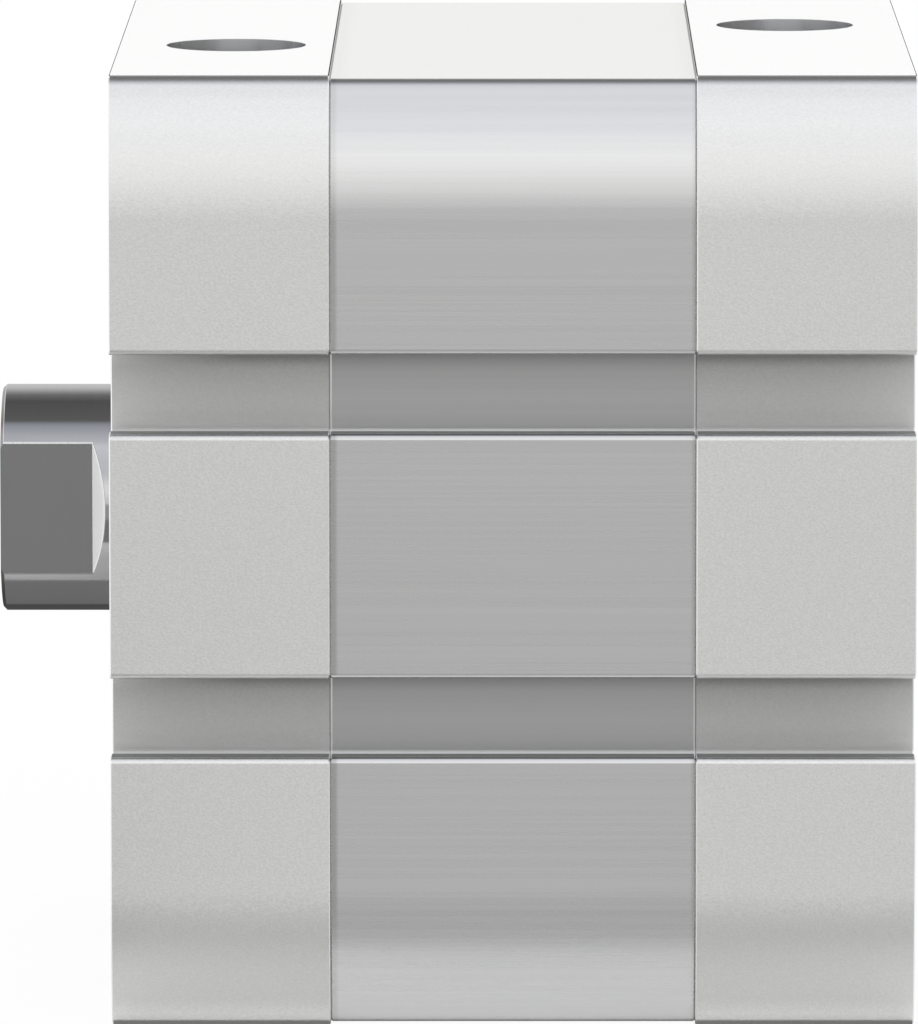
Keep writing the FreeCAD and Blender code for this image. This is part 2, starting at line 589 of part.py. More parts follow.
HOLE_R = "(dims.spigot_dia / 2 + dims.fit_room)"
RING_R = f"({HOLE_R} + dims.ring_groove)"
RING_1 = f"({PISTON_FRONT} + dims.ring_setback)"
RING_2 = f"({RING_1} + dims.ring_length)"
front_half = piston_half("piston_front_half", PISTON_FRONT, 1, [
    (PISTON_MID, HOLE_R), (RING_2, HOLE_R), (RING_2, RING_R), (RING_1, RING_R), (RING_1, HOLE_R),
    (PISTON_FRONT, HOLE_R)])
HEAD_R = "(dims.fix_head / 2 + dims.fix_head_room)"
rear_half = piston_half("piston_rear_half", PISTON_REAR, -1, [
    (PISTON_MID, HOLE_R), (HEAD_SEAT, HOLE_R), (HEAD_SEAT, HEAD_R), (PISTON_REAR, HEAD_R)])

# Rings of the piston
piston_oring = turned_part("piston_oring", squeezed_ring(
    f"({RING_1} + dims.side_gap)", f"({RING_2} - dims.side_gap)", 1, "dims.spigot_dia / 2", RING_R))
BAND_1 = f"({PISTON_MID} - dims.band_groove / 2 + dims.side_gap)"
BAND_2 = f"({PISTON_MID} + dims.band_groove / 2 - dims.side_gap)"
magnet = turned_part("magnet_ring", [
    (BAND_1, "dims.magnet_inner + dims.fit_room"), (BAND_1, "dims.magnet_outer"),
    (BAND_2, "dims.magnet_outer"), (BAND_2, "dims.magnet_inner + dims.fit_room")])
guide = turned_part("guide_ring", [
    (BAND_1, "dims.band_inner"), (BAND_1, BAND_R), (BAND_2, BAND_R), (BAND_2, "dims.band_inner")])
slit = new_sketch(guide, "XY_Plane", "slit_section", ("0", "0", "dims.band_inner - dims.cut_over"))
SLANT = "(dims.band_groove / 2 + dims.cut_over)"
draw_polygon(slit, [
    (f"{PISTON_MID} - {SLANT}", f"-{SLANT}"), (f"{PISTON_MID} + {SLANT}", SLANT),
    (f"{PISTON_MID} + {SLANT}", f"{SLANT} + dims.band_slit"),
    (f"{PISTON_MID} - {SLANT}", f"-{SLANT} + dims.band_slit")])
SLIT_DEPTH = f"{BORE_R} - dims.band_inner + 2 * dims.cut_over"
feature(guide, "Pocket", "slit", slit, Length=f"={SLIT_DEPTH}", Reversed=True)


def lip_seal(label, face, into):
    """Lip seal whose notch opens towards the pressure side."""
    near = f"{face} + {into} * (dims.land + dims.side_gap)"
    far = f"{face} + {into} * (dims.land + dims.seal_groove - dims.side_gap)"
    return turned_part(label, [
        (near, "dims.seal_floor + dims.lip_wall"),
        (f"{near} + {into} * dims.lip_wall / 2", "dims.seal_floor"),
        (far, "dims.seal_floor"), (far, f"{BAND_R} - dims.rod_room"),
        (f"{near} + {into} * dims.lip_wall", BAND_R), (near, f"{BAND_R} - dims.lip_wall / 2"),
        (f"{near} + {into} * dims.seal_notch", f"(dims.seal_floor + {BAND_R}) / 2")])


front_seal = lip_seal("front_piston_seal", PISTON_FRONT, 1)
rear_seal = lip_seal("rear_piston_seal", PISTON_REAR, -1)

# Piston screw: low head in the rear half, thread in the rod
fix = new_body("piston_screw")
HEAD_TOP = f"({HEAD_SEAT} + dims.fix_head_length)"
FIX_TIP = f"({HEAD_SEAT} - dims.fix_grip)"
turn(fix, "Revolution", "turned", [
    (HEAD_TOP, "0"), (HEAD_TOP, "dims.fix_head / 2 - dims.head_chamfer"),
    (f"{HEAD_TOP} - dims.head_chamfer", "dims.fix_head / 2"),
    (HEAD_SEAT, "dims.fix_head / 2"), (HEAD_SEAT, "dims.fix_thread / 2"),
    (f"{FIX_TIP} + dims.tip_chamfer", "dims.fix_thread / 2"),
    (FIX_TIP, "dims.fix_thread / 2 - dims.tip_chamfer"), (FIX_TIP, "0")])
fix_socket = new_sketch(fix, "YZ_Plane", "socket_section", ("0", "0", HEAD_TOP))
draw_polygon(fix_socket, [(f"dims.fix_key / sqrt(3) * cos({60 * k})",
                           f"dims.fix_key / sqrt(3) * sin({60 * k})") for k in range(6)])
feature(fix, "Pocket", "socket", fix_socket, Length="=dims.fix_socket")

doc.recompute()

SUBPARTS = [
    bearing_cap, barrel, end_cap, front_screws, rear_screws, front_oring, rear_oring, bush, wiper,
    front_bumper, rear_bumper, rod, front_half, rear_half, magnet, guide, front_seal, rear_seal, fix,
    piston_oring,
]

# Every object must have computed before anything is written
for item in doc.Objects:
    if "Invalid" in item.State or "Error" in item.State:
        raise RuntimeError(f"{item.Label} did not compute: {item.State}")
os.makedirs("parts", exist_ok=True)
for body in SUBPARTS:
    if body.Shape.isNull() or not body.Shape.isValid():
        raise RuntimeError(f"{body.Label} has no valid shape")
    body.Shape.exportStep(f"parts/{body.Label}.step")
    print(body.Label, len(body.Shape.Solids), round(body.Shape.Volume, 1))
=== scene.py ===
# %% [markdown]
# # A compact pneumatic cylinder
# The solids come finished from the CAD frame: two caps, a barrel, screws, seals, a rod and a piston.
# What is left for Blender is what solids can't hold: the finish of every surface, the cut threads,
# and a small studio to look at it all. Loading the frame first means that every later step can
# ask it for sizes, so nothing has to be fitted by eye.

# %% Load the frame
import json
import math
import bmesh
import bpy
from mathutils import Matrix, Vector


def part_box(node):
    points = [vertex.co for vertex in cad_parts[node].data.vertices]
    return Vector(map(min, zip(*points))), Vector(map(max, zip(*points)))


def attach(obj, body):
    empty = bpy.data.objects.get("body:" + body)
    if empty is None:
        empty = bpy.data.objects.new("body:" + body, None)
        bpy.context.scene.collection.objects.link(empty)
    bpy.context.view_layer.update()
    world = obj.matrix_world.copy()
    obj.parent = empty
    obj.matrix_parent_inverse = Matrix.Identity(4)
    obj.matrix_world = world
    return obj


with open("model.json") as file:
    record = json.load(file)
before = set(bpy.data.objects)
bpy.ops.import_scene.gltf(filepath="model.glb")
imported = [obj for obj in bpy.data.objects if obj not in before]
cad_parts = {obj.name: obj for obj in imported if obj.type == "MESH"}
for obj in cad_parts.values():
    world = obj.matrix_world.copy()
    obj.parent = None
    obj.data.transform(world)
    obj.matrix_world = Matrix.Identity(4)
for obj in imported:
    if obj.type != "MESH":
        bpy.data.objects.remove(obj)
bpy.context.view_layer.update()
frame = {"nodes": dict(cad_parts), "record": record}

# %% [markdown]
# ## Sizes that the finishes and threads need
# Blender works in metres, but a maker thinks of this part in millimetres, so each size is read from
# the frame and turned into millimetres once. The mounts and openings in the record already say where
# the ports, the screw holes and the slots are, which saves writing those numbers a second time.

# %% Read the sizes
MM = 0.001


def in_mm(vector):
    """A length or point of the frame, in millimetres."""
    return [value / MM for value in vector]


def named(things, name):
    """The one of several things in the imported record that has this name."""
    return next(thing for thing in things if thing["name"] == name)


mounts = frame["record"]["mounts"]
openings = frame["record"]["physics"]["openings"]
barrel_low, barrel_high = (in_mm(corner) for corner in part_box("barrel"))
rod_low, rod_high = (in_mm(corner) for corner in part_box("piston_rod"))
HALF = in_mm(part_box("bearing_cap")[1])[2]
BARREL_HALF = barrel_high[2]
LENGTH = in_mm(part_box("end_cap")[1])[0]
SEAMS = (barrel_low[0], barrel_high[0])
ROD_TIP = rod_low[0]
ROD_RADIUS = rod_high[2]
front_bolts = named(mounts, "front_bolts")
rear_bolts = named(mounts, "rear_bolts")
front_port = named(mounts, "front_port")
SCREW_OFFSET = front_bolts["dims"]["spacing_x_mm"] / 2
SCREW_RADIUS = front_bolts["dims"]["hole_r_mm"]
FRONT_PORT = in_mm(front_port["pos_m"])
REAR_PORT = in_mm(named(mounts, "rear_port")["pos_m"])
PORT_RADIUS = front_port["dims"]["r_mm"]
ROD_HOLE_RADIUS = named(mounts, "rod_thread")["dims"]["r_mm"]
slot_low, slot_high = (in_mm(corner) for corner in named(openings, "front_upper_slot")["box_m"])
SLOT_MID = (slot_low[2] + slot_high[2]) / 2
print("half height", HALF, "length", LENGTH, "seams", SEAMS, "rod tip", ROD_TIP, "slots at", SLOT_MID)

# %% [markdown]
# ## Maths that reads like maths
# A finish is a small calculation: how far is this point from the axis, how strong is the grain here?
# In the node editor that is a web of Math nodes. Here one class wraps a socket and answers to
# Python's operators, so an expression such as 1 - mask adds the nodes by itself. Everything else
# comes from one method, add, which takes a node's type, its settings and its inputs.

# %% Values and node trees


class Value:
    """A node's output that can be used in Python expressions."""

    def __init__(self, nodes, socket):
        self.nodes = nodes
        self.socket = socket

    def maths(self, operation, *inputs):
        return self.nodes.add("ShaderNodeMath", {"operation": operation}, dict(enumerate(inputs)))

    def __add__(self, other):
        return self.maths("ADD", self, other)

    def __radd__(self, other):
        return self.maths("ADD", other, self)

    def __sub__(self, other):
        return self.maths("SUBTRACT", self, other)

    def __rsub__(self, other):
        return self.maths("SUBTRACT", other, self)

    def __mul__(self, other):
        return self.maths("MULTIPLY", self, other)

    def __rmul__(self, other):
        return self.maths("MULTIPLY", other, self)

    def __truediv__(self, other):
        return self.maths("DIVIDE", self, other)

    def __pow__(self, power):
        return self.maths("POWER", self, power)

    def __abs__(self):
        return self.maths("ABSOLUTE", self)

    def __lt__(self, other):
        return self.maths("LESS_THAN", self, other)

    def __gt__(self, other):
        return self.maths("GREATER_THAN", self, other)

    def sign(self):
        return self.maths("SIGN", self)

    def either(self, other):
        return self.maths("MAXIMUM", self, other)

    def least(self, other):
        return self.maths("MINIMUM", self, other)

    def rise(self, low, high):
        """Zero below low, one above high, and a smooth slope between."""
        return self.nodes.add("ShaderNodeMapRange", {"interpolation_type": "SMOOTHSTEP"}, {
            "Value": self, "From Min": low, "From Max": high})

    def band(self, start, stop):
        """One between two smooth slopes, each given by its low and high end."""
        return self.rise(*start) - self.rise(*stop)


class Nodes:
    """A node tree that grows by one method."""

    def __init__(self, tree):
        self.tree = tree

    def add(self, kind, settings=None, inputs=None, output=0):
        node = self.tree.nodes.new(kind)
        for name, value in (settings or {}).items():
            if name == "stops":
                self.set_stops(node.color_ramp, value)
            else:
                setattr(node, name, value)
        for name, value in (inputs or {}).items():
            self.plug(node.inputs[name], value)
        return Value(self, node.outputs[output])

    def set_stops(self, ramp, stops):
        while len(ramp.elements) < len(stops):
            ramp.elements.new(1.0)
        for element, (place, colour) in zip(ramp.elements, stops):
            element.position = place
            element.color = colour

    def plug(self, socket, value):
        if isinstance(value, Value):
            self.tree.links.new(value.socket, socket)
        else:
            socket.default_value = value


print("shader helpers ready")

# %% [markdown]
# ## One way to start every finish
# All the finishes here hang on the Principled shader, and all of them measure the piece in its own
# object coordinates. Those stay with the piece when it slides or turns, so the grain doesn't swim
# over the rod as it moves. Values that are the same all over go straight onto the shader's sockets.

# %% The base of a finish


class Finish(Nodes):
    """A material with one Principled shader and coordinates in millimetres."""

    def __init__(self, name, **constants):
        self.material = bpy.data.materials.new(name)
        self.material.use_nodes = True
        super().__init__(self.material.node_tree)
        self.shader = self.tree.nodes["Principled BSDF"]
        for words, value in constants.items():
            self.shader.inputs[words.replace("_", " ").title()].default_value = value
        place = self.add("ShaderNodeTexCoord", output="Object")
        self.place = self.add("ShaderNodeVectorMath", {"operation": "SCALE"}, {0: place, "Scale": 1 / MM})
        self.x, self.y, self.z = (
            self.add("ShaderNodeSeparateXYZ", inputs={0: self.place}, output=axis) for axis in "XYZ")

    def noise(self, scale, detail=2.0, roughness=0.5, stretch=(1, 1, 1)):
        """Noise around zero; scale is in bumps per millimetre, stretch squeezes single axes."""
        place = self.add("ShaderNodeVectorMath", {"operation": "MULTIPLY"}, {0: self.place, 1: stretch})
        made = self.add("ShaderNodeTexNoise", {"noise_dimensions": "3D"}, {
            "Vector": place, "Scale": scale, "Detail": detail, "Roughness": roughness})
        return made - 0.5

    def colour(self, factor, dark, light):
        """Colour between two colours, each three numbers or a value made before."""
        ends = [end if isinstance(end, Value) else (*end, 1) for end in (dark, light)]
        return self.add("ShaderNodeMix", {"data_type": "RGBA"}, {
            "Factor": factor, 6: ends[0], 7: ends[1]}, output=2)

    def radius(self, first, second, centre=(0, 0)):
        """Distance from an axis, from the two coordinates across it."""
        a = first - centre[0]
        b = second - centre[1]
        return (a * a + b * b) ** 0.5

    def set(self, socket, value):
        self.plug(self.shader.inputs[socket], value)

    def relief(self, height, depth, **normal):
        """Bump of a height between about -0.5 and 0.5; depth is in millimetres."""
        self.set("Normal", self.add("ShaderNodeBump", inputs={
            "Distance": depth * MM, "Height": height, **normal}))


print("finish base ready")

# %% [markdown]
# ## Places on the housing
# Caps and barrel share one outline: flat sides that bend inwards above and below, with two slots in
# each side. Some places on it have a finish of their own. Neither blasting nor brushing reaches far
# into the slots, so they stay dull, and their colour carries painted shade: darker inside, and darkest
# just under the upper lip, as if in its shadow. The upper lip's mouth has a painted highlight, and so do
# some of the broken edges round the end faces, and the long rounded corners are smoother than the faces
# beside them. All are found by measuring how far a point lies from the outline or from an end face, which
# works on any mesh. The mesh is made of facets, and where a bend runs into a flat side they leave a crease
# that the real one lacks. A Bump node takes any normal to start from, so on the bends it gets the exact
# one, worked out from the radius and turned from object to world space.

# %% Slots and edges
SIDE_FLAT = 23.05
SIDE_RADIUS = 23.0
SLOT_REACH = 3.5
SLOT_MOUTH, SLOT_LIP, SLOT_WALL, SLOT_BOTTOM = 0.02, 0.4, 2.15, 4.9
SLOT_CORNER = -2.80
# Painted shade in the slots: the bottom darkens towards the upper lip, most just under it, as if in its
# shadow, and lightens towards the lower lip.
SLOT_TONE, SLOT_FADE = 0.51, 0.094
LIP_SHADE_SPAN = (1.2, 2.6)
LOW_SPAN, LOW_LIFT = (1.7, 2.9), 0.28
# Painted highlight on the mouth of each slot's upper lip.
LIP_HIGHLIGHT = (0.90, 0.90, 0.89)
CORNER_INNER, CORNER_OUTER = 1.1, 1.5
FACE_SKIN = 0.02
EDGE_SKIN = 0.005
BEND_SKIN = 0.06


def in_slots(made, surface, low, high):
    """One inside every slot, between two depths below the outline."""

    def one_side(along, depth):
        beside = abs(abs(along) - SLOT_MID) < SLOT_REACH
        return beside * (depth > low) * (depth < high)

    return one_side(made.z, surface - abs(made.y)).either(one_side(made.y, surface + made.z))


def slot_colour(made, surface, tint, lip_shade, faces, tones):
    """Colour with the slots laid over the faces as painted shade; tones are of walls, corners, dark and
    light bottom.
    """
    wall, corner, dark, light = tones
    # Painted shade: the bottom is darker towards the upper lip and lighter towards the lower one.
    above = (abs(made.z) - SLOT_MID) * made.z.sign()
    lifted = (0 - above).rise(*LOW_SPAN) * LOW_LIFT
    shade = SLOT_TONE + tint - above * SLOT_FADE - above.rise(*LIP_SHADE_SPAN) * lip_shade + lifted
    bottom = made.colour(above < SLOT_CORNER, made.colour(shade, dark, light), corner)
    # Painted highlight along the mouth of the upper lip.
    at_lip = in_slots(made, surface, SLOT_MOUTH, SLOT_LIP) * (above > 0)
    at_wall = in_slots(made, surface, SLOT_LIP, SLOT_WALL)
    at_bottom = in_slots(made, surface, SLOT_WALL, SLOT_BOTTOM)
    lipped = made.colour(at_lip, faces, LIP_HIGHLIGHT)
    return made.colour(at_bottom, made.colour(at_wall, lipped, wall), bottom)


def end_distance(made, ends):
    """How far a point is from the nearer one of two planes across the X axis."""
    return abs(made.x - ends[0]).least(abs(made.x - ends[1]))


def broken_edges(made, ends, width):
    """One on the narrow chamfers round the two end faces."""
    away = end_distance(made, ends)
    return (away > EDGE_SKIN) * (away < width)


def long_corners(made, surface):
    """One along the four rounded corners that run from end to end."""
    bend = (surface - SIDE_FLAT) / SIDE_RADIUS
    side = surface - SIDE_RADIUS * (1 - (1 - bend * bend) ** 0.5)
    return 1 - made.radius(abs(made.y), abs(made.z), (side, surface)).rise(CORNER_INNER, CORNER_OUTER)


def bend_normal(made, surface, edge):
    """Normal that follows the bends of the sides exactly, apart from their edges and corners."""
    lean = ((abs(made.z) - SIDE_FLAT) / SIDE_RADIUS).either(0.0)
    level = (1 - lean * lean) ** 0.5
    off_side = abs(surface - SIDE_RADIUS * (1 - level) - abs(made.y))
    on_bend = (lean > 0.0) * (off_side < BEND_SKIN) * (1 - edge) * (1 - long_corners(made, surface))
    outward = made.add("ShaderNodeCombineXYZ", inputs={
        "Y": level * made.y.sign(), "Z": lean * made.z.sign()})
    exact = made.add("ShaderNodeVectorTransform", {
        "vector_type": "NORMAL", "convert_from": "OBJECT", "convert_to": "WORLD"}, {0: outward})
    facets = made.add("ShaderNodeNewGeometry", output="Normal")
    return made.add("ShaderNodeMix", {"data_type": "VECTOR"}, {
        "Factor": on_bend, 4: facets, 5: exact}, output=1)


print("slots reach", SLOT_REACH, "mm to each side of their middle")

# %% [markdown]
# ## Blasted caps
# The caps are milled blocks that are bead-blasted and anodised: a dull silver with a grain of about a
# seventh of a millimetre. A fine noise makes the grain, in the colour, the roughness and a shallow bump,
# and a broad one adds the faint clouds that no blasted surface is without. Light and shade are painted on
# top of it: the lower bend is painted darker, and the lower half and the height of the upper bend are
# painted lighter. In the slots the painted shade is lifted towards their open ends, and under the upper
# lip near the rod. The top is skimmed smooth after blasting, where the fittings seal. Inside the ports,
# bores and screw seats the tool has cut bare metal, so a distance from each axis picks them out. A duller
# streak down each port is painted paler as a highlight, and the cut metal further towards the rod end than
# the port is painted darker as shade. The broken edges round the ends are painted bright as a highlight,
# but on the top they are painted dark as shade. Painted dark, they would still shine at a flat angle as
# metal, so Metallic drops there and the specular level is off.

# %% Caps
CAP_DARK = (0.733, 0.733, 0.717)
CAP_LIGHT = (0.907, 0.907, 0.889)
# Painted shade on the caps' lower bend.
CAP_LOW_SHADE = (0.56, 0.56, 0.55)
CAP_TOP = (0.985, 0.985, 0.995)
# Painted highlight on the broken edges round the end faces.
CAP_EDGE_HIGHLIGHT = (0.97, 0.97, 0.965)
# Painted shade on the broken edges of the top.
CAP_TOP_EDGE_SHADE = (0.06, 0.06, 0.06)
# Tones of the painted shade in the caps' slots: walls, corners, dark and light bottom.
CAP_SLOT = ((0.23, 0.23, 0.23), (0.55, 0.55, 0.54), (0.30, 0.30, 0.295), (0.78, 0.78, 0.77))
CAP_BREAK = 0.08
# How deep the painted shadow under the upper lip of the caps' slots is.
CAP_LIP_SHADE = 0.42
# How far painted light reaches into the slots from their open ends, and under the upper lip from the rod
# end.
OPEN_REACH, ROD_END_LIGHT_REACH = 10.0, 9.0
CUT_DARK = (0.595, 0.595, 0.585)
CUT_LIGHT = (0.805, 0.81, 0.83)
# Spans of the painted highlight down each port and of the painted shade towards the rod end.
STREAK_SPAN, ROD_SIDE_SHADE_SPAN = (0.8, 1.8), (1.0, 3.0)
SEAT_RADIUS = 6.4
BORE_RADIUS = 12.1
PORT_SKIN = 0.05
TOP_SKIN = 0.09
GRAINS_PER_MM, CLOUDS_PER_MM = 7.2, 0.2
GRAIN_STRETCH = (0.8, 1, 1.2)
GRAIN_DEPTH = 0.0055
UPPER_BEND = (22.0, 27.0)
# Heights of the painted shade on the lower bend.
LOW_SHADE_START, LOW_SHADE_STOP = (23.5, 26.5), (30.5, 32.0)
# Heights of the painted light on the lower half and on the upper bend.
LIT_LOW_START, LIT_LOW_STOP = (0.0, 20.0), (26.0, 28.0)
PALE_START, PALE_STOP = (28.3, 29.8), (31.0, 31.8)


def blasted_cap(name, port, ends):
    """Finish of a cap with its port in one place; ends are its outer and its inner end."""
    made = Finish(name)
    down = 0 - made.z
    grain = made.noise(GRAINS_PER_MM, 0.5, stretch=GRAIN_STRETCH) * (1 - made.z.rise(*UPPER_BEND) * 0.35)
    clouds = made.noise(CLOUDS_PER_MM)
    near_port = made.radius(made.x, made.y, port[:2]) < PORT_RADIUS + PORT_SKIN
    in_port = near_port * (made.z < HALF - FACE_SKIN)
    in_seat = made.radius(abs(made.y), abs(made.z), (SCREW_OFFSET, SCREW_OFFSET)) < SEAT_RADIUS
    in_bore = made.radius(made.y, made.z) < BORE_RADIUS
    behind_face = end_distance(made, ends) > FACE_SKIN
    cut = in_port.either(in_seat.either(in_bore) * behind_face)
    top = made.z > HALF - TOP_SKIN
    edge = broken_edges(made, ends, CAP_BREAK)
    # Painted shade: the broken edges of the top are dark, and not metal.
    top_edge_shade = edge * top
    # Painted light: the height of the upper bend and the lower half are lighter.
    pale = made.z.band(PALE_START, PALE_STOP) - made.z.rise(*PALE_STOP) * 0.5
    height_light = down.band(LIT_LOW_START, LIT_LOW_STOP) * 0.15 + pale * 0.2
    blasted = made.colour(0.5 + grain * 1.1 + clouds * 0.03 + height_light, CAP_DARK, CAP_LIGHT)
    # Painted shade: the lower bend is darker.
    low_shade = made.colour(down.band(LOW_SHADE_START, LOW_SHADE_STOP) * 0.4, blasted, CAP_LOW_SHADE)
    # Painted light in the slots: paler towards the open end, and the painted shade under the upper lip fades
    # near the rod end.
    opening = (1 - abs(made.x - ends[0]) / OPEN_REACH).either(0.0) ** 3
    lip_shade = CAP_LIP_SHADE - (1 - abs(made.x) / ROD_END_LIGHT_REACH).either(0.0) * 0.85
    sides = slot_colour(made, HALF, grain * 0.18 + opening * 0.24, lip_shade, low_shade, CAP_SLOT)
    # Painted highlight on the broken edges, over the skimmed top and the sides.
    faces = made.colour(edge, made.colour(top, sides, CAP_TOP), CAP_EDGE_HIGHLIGHT)
    # In the cut metal a painted highlight streaks down each port, and painted shade darkens the side towards
    # the rod end.
    beside_port = made.x - port[0]
    streak = 1 - abs(beside_port).rise(*STREAK_SPAN)
    rod_side_shade = (0 - beside_port).rise(*ROD_SIDE_SHADE_SPAN)
    bare = made.colour(0.9 + streak * 0.1 - rod_side_shade * 0.9, CUT_DARK, CUT_LIGHT)
    made.set("Base Color", made.colour(top_edge_shade, made.colour(cut, faces, bare), CAP_TOP_EDGE_SHADE))
    made.set("Metallic", 1 - top_edge_shade - in_slots(made, HALF, SLOT_LIP, SLOT_WALL) * 0.35)
    made.set("Specular IOR Level", 0.0)
    smoother = (top * 0.20).either(long_corners(made, HALF).either(edge) * 0.11)
    made.set("Roughness", (0.415 + grain * 0.06 - smoother) * (1 - cut) + (0.26 + streak * 0.06) * cut)
    dulled = cut.either(top * 0.7).either(in_slots(made, HALF, SLOT_LIP, SLOT_BOTTOM) * 0.6)
    made.relief(grain * (1 - dulled), GRAIN_DEPTH, Normal=bend_normal(made, HALF, edge))
    return made.material


finishes = {
    "bearing_cap": blasted_cap("bearing_cap_blasted", FRONT_PORT, (0.0, SEAMS[0])),
    "end_cap": blasted_cap("end_cap_blasted", REAR_PORT, (LENGTH, SEAMS[1])),
}
print("cap finishes", [material.name for material in finishes.values()])

# %% [markdown]
# ## Drawn barrel
# The barrel is a length of extruded profile. The die leaves hair-fine lines along its length, and
# they are what the eye reads as extruded. Noise that is squeezed hard along X makes lines of any
# length: a fine set for the scratches and a broad faint set for the bands that a worn die draws.
# The lines show most on the upper bend, whose foot is painted a little darker as shade, and the lower
# half and lower bend are painted paler as light. Beside the seams, where the caps stand proud, painted
# shade darkens the metal, on the flat sides more than on the bends, and on the top too. The slots carry
# painted shade like the caps'. The broken edges at both ends are plain, and in the slots they are
# painted bright as a highlight.

# %% Barrel
BARREL_DARK = (0.626, 0.626, 0.624)
BARREL_LIGHT = (0.778, 0.778, 0.776)
BARREL_TOP = (0.84, 0.84, 0.84)
# Painted shade on the top beside the seams.
BARREL_TOP_SEAM_SHADE = (0.78, 0.78, 0.78)
# Tones of the painted shade in the barrel's slots: walls, corners, dark and light bottom.
BARREL_SLOT = ((0.30, 0.30, 0.30), (0.64, 0.64, 0.64), (0.385, 0.385, 0.385), (0.61, 0.61, 0.608))
# Painted shade on the sides beside the seams.
BARREL_SEAM_SHADE = (0.52, 0.52, 0.52)
BARREL_EDGE = (0.72, 0.72, 0.72)
# Painted highlight on the broken edges inside the slots.
BARREL_SLOT_EDGE_HIGHLIGHT = (0.95, 0.95, 0.95)
BARREL_BREAK = 0.12
# How deep the painted shadow under the upper lip of the barrel's slots is.
BARREL_LIP_SHADE = 0.30
# Widths of the painted shade beside the seams, on the sides and on the top.
FRONT_SEAM, REAR_SEAM, TOP_SEAM = (0.30, 0.65), (0.05, 0.45), (0.2, 1.5)
LINES_PER_MM, BANDS_PER_MM = 3.6, 0.5
LINE_STRETCH, BAND_STRETCH = (0.004, 1, 1), (0.01, 1, 1)
LINE_DEPTH = 0.0004
SEAM_FADE, LINE_GAIN = (22.0, 28.0), (22.0, 25.0)
# Heights of the painted shade at the foot of the upper bend and of the painted light on the lower half.
BEND_START, BEND_STOP = (22.8, 23.8), (25.5, 27.5)
LOWER_HALF, LOWER_BEND = (5.0, 22.0), (27.5, 29.3)


def drawn_barrel():
    made = Finish("barrel_drawn", metallic=1.0)
    down = 0 - made.z
    lines = made.noise(LINES_PER_MM, detail=0.0, stretch=LINE_STRETCH)
    bands = made.noise(BANDS_PER_MM, stretch=BAND_STRETCH)
    # Painted shade beside the seams, where the caps stand proud.
    front_seam = 1 - (made.x - SEAMS[0]).rise(*FRONT_SEAM)
    rear_seam = 1 - (SEAMS[1] - made.x).rise(*REAR_SEAM)
    seam = front_seam.either(rear_seam) * (1 - abs(made.z).rise(*SEAM_FADE) * 0.6)
    edge = broken_edges(made, SEAMS, BARREL_BREAK)
    top = made.z > BARREL_HALF - FACE_SKIN
    # Painted shade on the top near the seams.
    from_seam = end_distance(made, SEAMS).rise(*TOP_SEAM)
    skim = made.colour(from_seam * 0.9 + lines * 0.5, BARREL_TOP_SEAM_SHADE, BARREL_TOP)
    # Painted light on the lower half and lower bend, and painted shade at the foot of the upper bend.
    lower_light = down.rise(*LOWER_HALF) * 0.2 + down.rise(*LOWER_BEND) * 0.25
    bend_foot_shade = made.z.band(BEND_START, BEND_STOP) * 0.3
    marks = lines * (0.22 + made.z.rise(*LINE_GAIN) * 0.2) + bands * 0.25
    drawn = made.colour(0.5 + marks + lower_light - bend_foot_shade, BARREL_DARK, BARREL_LIGHT)
    worn = made.colour(top, made.colour(seam, drawn, BARREL_SEAM_SHADE), skim)
    faces = slot_colour(made, BARREL_HALF, lines * 0.15, BARREL_LIP_SHADE, worn, BARREL_SLOT)
    slots = in_slots(made, BARREL_HALF, SLOT_LIP, SLOT_BOTTOM)
    # The broken edges are plain, except in the slots, where they are a painted highlight.
    made.set("Base Color", made.colour(edge, faces, made.colour(slots, BARREL_EDGE, BARREL_SLOT_EDGE_HIGHLIGHT)))
    duller = (slots * 0.18).either(long_corners(made, BARREL_HALF) * (1 - top) * 0.07)
    made.set("Roughness", 0.275 + lines * 0.03 - top * 0.03 + duller)
    made.relief(lines, LINE_DEPTH, Normal=bend_normal(made, BARREL_HALF, edge))
    return made.material


finishes["barrel"] = drawn_barrel()
print("barrel finish ready")

# %% [markdown]
# ## Ground and polished rod
# A piston rod is ground round and polished, because the seals run on it. It is nearly a mirror, with
# faint rings from the grinding wheel, so its look is made by what it reflects. The wrench flats are
# milled afterwards: they are a little rougher, and they are where the radius drops below the rod's.
# Where the cutter ran out of the metal it left a small slanted face, duller than the flats and painted
# white as a highlight, and the sharp upper edge of each flat has the same painted highlight.

# %% Rod
ROD_DARK = (0.48, 0.48, 0.485)
ROD_LIGHT = (0.54, 0.54, 0.545)
ROD_EDGE = (0.68, 0.68, 0.68, 1)
MILLED = (0.335, 0.335, 0.335)
# Painted highlight on the run-out face and the upper edge of the flats.
RUN_OUT = (1.0, 1.0, 1.0)
RINGS_PER_MM, CUTS_PER_MM = 9.0, 4.0
RING_STRETCH, CUT_STRETCH = (1, 0.02, 0.02), (1, 0.05, 0.05)
RING_DEPTH = 0.0005
RIM_DEPTH = 0.05
FLAT_HALF = 6.5
FLAT_END = -2.05
RUN_OUT_LENGTH = 0.9
RUN_OUT_SLOPE = RUN_OUT_LENGTH / (ROD_RADIUS - FLAT_HALF)
ROUND_SKIN, FLAT_SKIN, RUN_OUT_SKIN = 0.01, 0.02, 0.05


